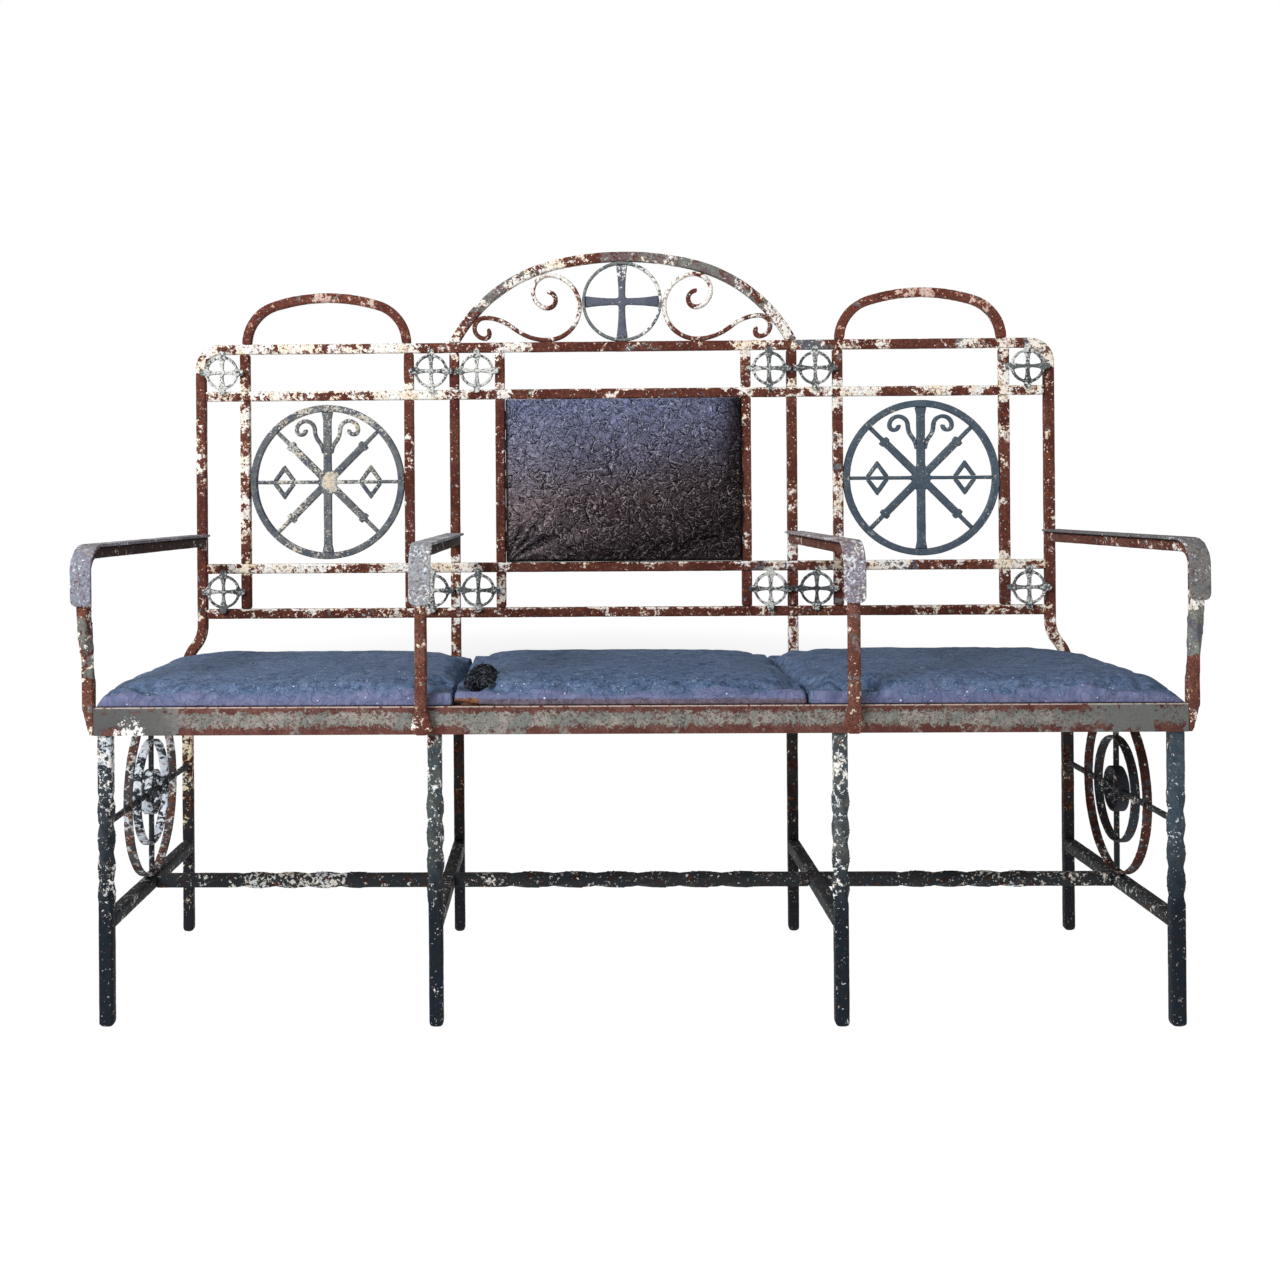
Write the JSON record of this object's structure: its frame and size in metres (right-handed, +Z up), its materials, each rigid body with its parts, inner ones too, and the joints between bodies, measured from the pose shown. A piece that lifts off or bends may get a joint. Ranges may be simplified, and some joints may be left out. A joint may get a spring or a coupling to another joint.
{
  "type": "upholstered bench",
  "caption": "Wrought-iron settee with twisted legs, pierced medallions, a scrolled and arched crest, strip arms, loose hide-covered squabs and a padded centre back.",
  "frame": {"origin": "on the floor, under the centre of the settee's length and depth", "axes": "+X along the seat towards the sitter's left hand (the picture's right), +Y from the front towards the back, +Z up"},
  "size_m": [1.5286, 0.4914, 1.113],
  "materials": {
    "frame_iron": "flaking cream paint over red-brown rust",
    "leg_iron": "worn blue-black paint with white flakes and rust",
    "arm_iron": "rust with patches of grey-green and cream paint",
    "arm_cap_paint": "scratched lilac-grey paint",
    "cast_ornament": "mottled blue-grey and off-white paint on cast iron",
    "board_wood": "raw softwood board",
    "horsehair": "black curled hair stuffing",
    "seat_cover": "faded slate-blue hide or vinyl with scratches",
    "back_leather": "wrinkled dark brown hide with a worn sheen"
  },
  "bodies": {
    "frame": {"seat_front_rail": "frame_iron", "seat_rear_rail": "frame_iron", "seat_end_rail_left": "frame_iron", "seat_end_rail_right": "frame_iron", "seat_bearers": "frame_iron", "back_frame_bar": "frame_iron", "upper_mid_rail": "frame_iron", "lower_mid_rail": "frame_iron", "bottom_back_rail": "frame_iron", "divider_post_left": "frame_iron", "divider_post_right": "frame_iron", "side_posts_left": "frame_iron", "side_posts_right": "frame_iron", "centre_posts": "frame_iron", "side_hoop_left": "frame_iron", "side_hoop_right": "frame_iron", "crest_arch": "frame_iron", "crest_ring": "frame_iron", "crest_cross": "frame_iron", "crest_scroll_left": "frame_iron", "crest_scroll_right": "frame_iron", "front_leg_outer_left": "leg_iron", "front_leg_inner_left": "leg_iron", "front_leg_inner_right": "leg_iron", "front_leg_outer_right": "leg_iron", "rear_legs": "leg_iron", "stretcher_end_left": "leg_iron", "stretcher_end_right": "leg_iron", "stretchers_inner": "leg_iron", "long_stretcher": "leg_iron", "roundel_rods": "leg_iron", "roundel_ring_left": "leg_iron", "roundel_ring_right": "leg_iron", "roundel_inner_rings_left": "leg_iron", "roundel_inner_rings_right": "leg_iron", "arm_bar_outer_left": "arm_iron", "arm_bar_outer_right": "arm_iron", "arm_bar_inner_left": "arm_iron", "arm_bar_inner_right": "arm_iron", "arm_cap_outer_left": "arm_cap_paint", "arm_cap_outer_right": "arm_cap_paint", "arm_cap_inner_left": "arm_cap_paint", "arm_cap_inner_right": "arm_cap_paint", "medallion_rims": "cast_ornament", "medallion_spokes": "cast_ornament", "medallion_lozenges": "cast_ornament", "medallion_scrolls": "cast_ornament", "rosettes": "cast_ornament", "back_pad_board": "board_wood", "back_pad_stuffing": "horsehair", "back_pad_cover": "back_leather"},
    "seat_left": {"squab_board_left": "board_wood", "squab_stuffing_left": "horsehair", "squab_cover_left": "seat_cover"},
    "seat_centre": {"squab_board_centre": "board_wood", "squab_stuffing_centre": "horsehair", "squab_cover_centre": "seat_cover"},
    "seat_right": {"squab_board_right": "board_wood", "squab_stuffing_right": "horsehair", "squab_cover_right": "seat_cover"}
  },
  "joints": [
    {"name": "lift_left_seat", "type": "slide", "parent": "frame", "child": "seat_left", "axis": [0, 0, 1], "range_m": [0, 0.1]},
    {"name": "lift_centre_seat", "type": "slide", "parent": "frame", "child": "seat_centre", "axis": [0, 0, 1], "range_m": [0, 0.1]},
    {"name": "lift_right_seat", "type": "slide", "parent": "frame", "child": "seat_right", "axis": [0, 0, 1], "range_m": [0, 0.1]}
  ]
}
